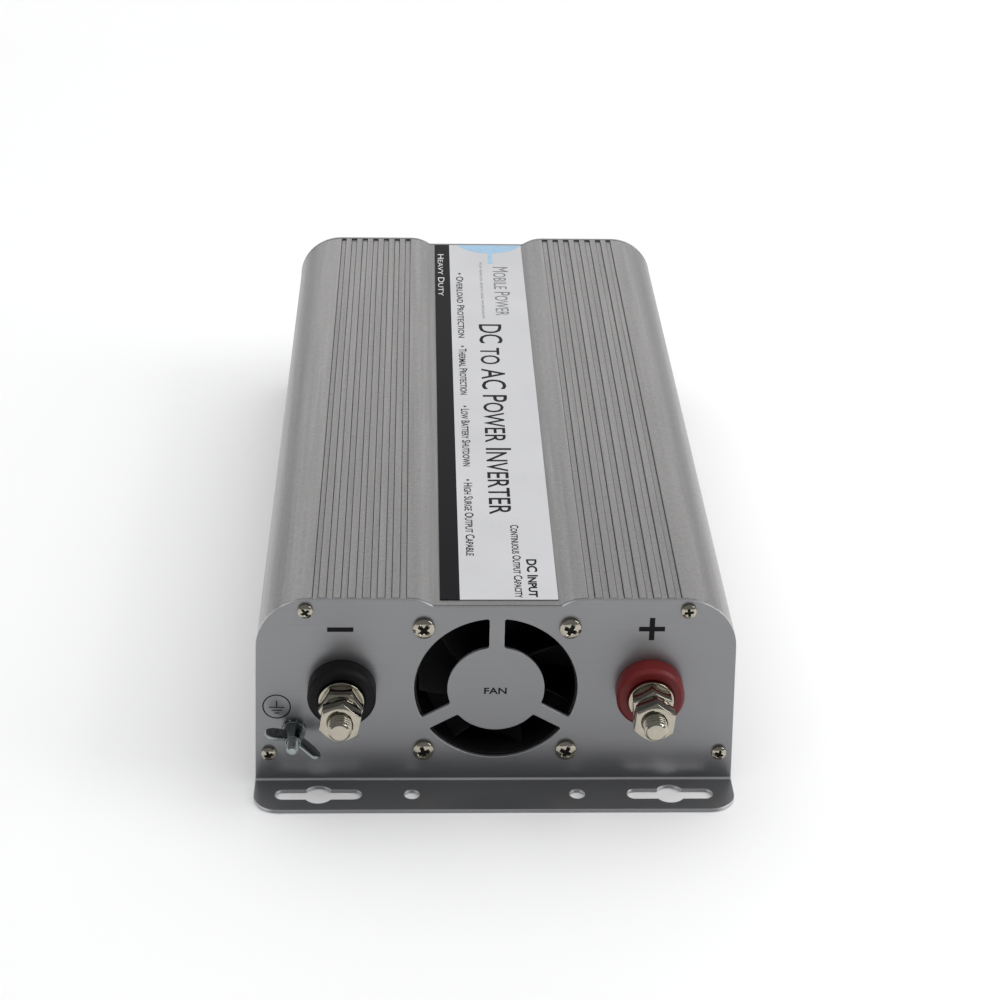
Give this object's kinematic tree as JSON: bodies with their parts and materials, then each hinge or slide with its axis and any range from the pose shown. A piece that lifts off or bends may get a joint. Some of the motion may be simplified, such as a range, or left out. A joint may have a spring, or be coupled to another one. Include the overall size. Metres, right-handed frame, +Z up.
{
  "type": "power inverter",
  "caption": "Grooved aluminium box that turns battery current into mains: cable studs and a fan at one end, outlets and a rocker switch at the other, on a slotted flange at each end.",
  "frame": {"origin": "middle of the base plate's underside", "axes": "+Z up; +Y along the case from the battery end to the outlet end; +X to the right when the battery end is faced"},
  "size_m": [0.2024, 0.455, 0.09],
  "materials": {
    "case": "bead-blasted and anodised warm grey",
    "plate": "satin anodised cool grey",
    "label": "printed film",
    "zinc": "zinc-plated",
    "nickel": "nickel-plated",
    "aluminium": "mill finish",
    "copper": "bright",
    "black": "fine matt",
    "red": "satin",
    "board": "green circuit board",
    "ferrite": "dark grey core with windings",
    "sleeve": "blue shrink sleeve",
    "green_lens": "clear green",
    "red_lens": "clear red"
  },
  "bodies": {
    "root": {"housing": "case", "base_plate": "case", "name_label": "label", "dc_end_plate": "plate", "ac_end_plate": "plate", "earth_stud": "zinc", "earth_tooth_washer": "zinc", "fan_frame": "black", "fan_bridge": "black", "fan_stator": "copper", "switch_housing": "black", "remote_jack": "black", "power_led": "green_lens", "fault_led": "red_lens", "main_board": "board", "control_board": "board", "heat_sink_right": "aluminium", "heat_sink_left": "aluminium", "output_capacitor": "sleeve", "output_choke": "copper", "dc_plate_screw_1": "nickel", "dc_plate_screw_2": "nickel", "dc_plate_screw_3": "nickel", "dc_plate_screw_4": "nickel", "ac_plate_screw_1": "nickel", "ac_plate_screw_2": "nickel", "ac_plate_screw_3": "nickel", "ac_plate_screw_4": "nickel", "fan_screw_1": "nickel", "fan_screw_2": "nickel", "fan_screw_3": "nickel", "fan_screw_4": "nickel", "input_capacitor_1": "sleeve", "ac_outlet_1": "black", "transformer_1": "ferrite", "input_capacitor_2": "sleeve", "ac_outlet_2": "black", "transformer_2": "ferrite", "input_capacitor_3": "sleeve", "ac_outlet_3": "black", "transformer_3": "ferrite", "neg_insulator": "black", "neg_stud": "nickel", "neg_flat_washer": "nickel", "neg_clamp_nut": "nickel", "neg_bus_bar": "copper", "pos_insulator": "red", "pos_stud": "nickel", "pos_flat_washer": "nickel", "pos_clamp_nut": "nickel", "pos_bus_bar": "copper"},
    "neg_lock_washer": {"neg_lock_washer": "nickel"},
    "neg_cable_nut": {"neg_cable_nut": "nickel"},
    "pos_lock_washer": {"pos_lock_washer": "nickel"},
    "pos_cable_nut": {"pos_cable_nut": "nickel"},
    "earth_washer": {"earth_flat_washer": "zinc"},
    "wing_nut": {"wing_nut": "zinc"},
    "fan_rotor": {"fan_rotor": "black", "fan_shaft": "nickel"},
    "switch_rocker": {"switch_rocker": "black"}
  },
  "joints": [
    {"name": "neg_nut_travel", "type": "slide", "parent": "root", "child": "neg_lock_washer", "axis": [0, -1, 0], "range_m": [0, 0.012]},
    {"name": "neg_nut_turn", "type": "hinge", "parent": "neg_lock_washer", "child": "neg_cable_nut", "pos_m": [-0.0638, -0.2, 0.0475], "axis": [0, -1, 0], "range_deg": [0, 2880]},
    {"name": "pos_nut_travel", "type": "slide", "parent": "root", "child": "pos_lock_washer", "axis": [0, -1, 0], "range_m": [0, 0.012]},
    {"name": "pos_nut_turn", "type": "hinge", "parent": "pos_lock_washer", "child": "pos_cable_nut", "pos_m": [0.0638, -0.2, 0.0475], "axis": [0, -1, 0], "range_deg": [0, 2880]},
    {"name": "wing_nut_travel", "type": "slide", "parent": "root", "child": "earth_washer", "axis": [0, -1, 0], "range_m": [0, 0.0128]},
    {"name": "wing_nut_turn", "type": "hinge", "parent": "earth_washer", "child": "wing_nut", "pos_m": [-0.0841, -0.2, 0.0275], "axis": [0, -1, 0], "range_deg": [0, 5760]},
    {"name": "fan_spin", "type": "hinge", "parent": "root", "child": "fan_rotor", "pos_m": [0, -0.2, 0.047], "axis": [0, -1, 0], "continuous": true},
    {"name": "switch_rock", "type": "hinge", "parent": "root", "child": "switch_rocker", "pos_m": [-0.07, 0.1985, 0.058], "axis": [1, 0, 0], "range_deg": [0, 20]}
  ],
  "couplings": [
    {"joint": "neg_nut_turn", "follows": "neg_nut_travel", "rad_per_m": 4188.8},
    {"joint": "pos_nut_turn", "follows": "pos_nut_travel", "rad_per_m": 4188.8},
    {"joint": "wing_nut_turn", "follows": "wing_nut_travel", "rad_per_m": 7854}
  ]
}
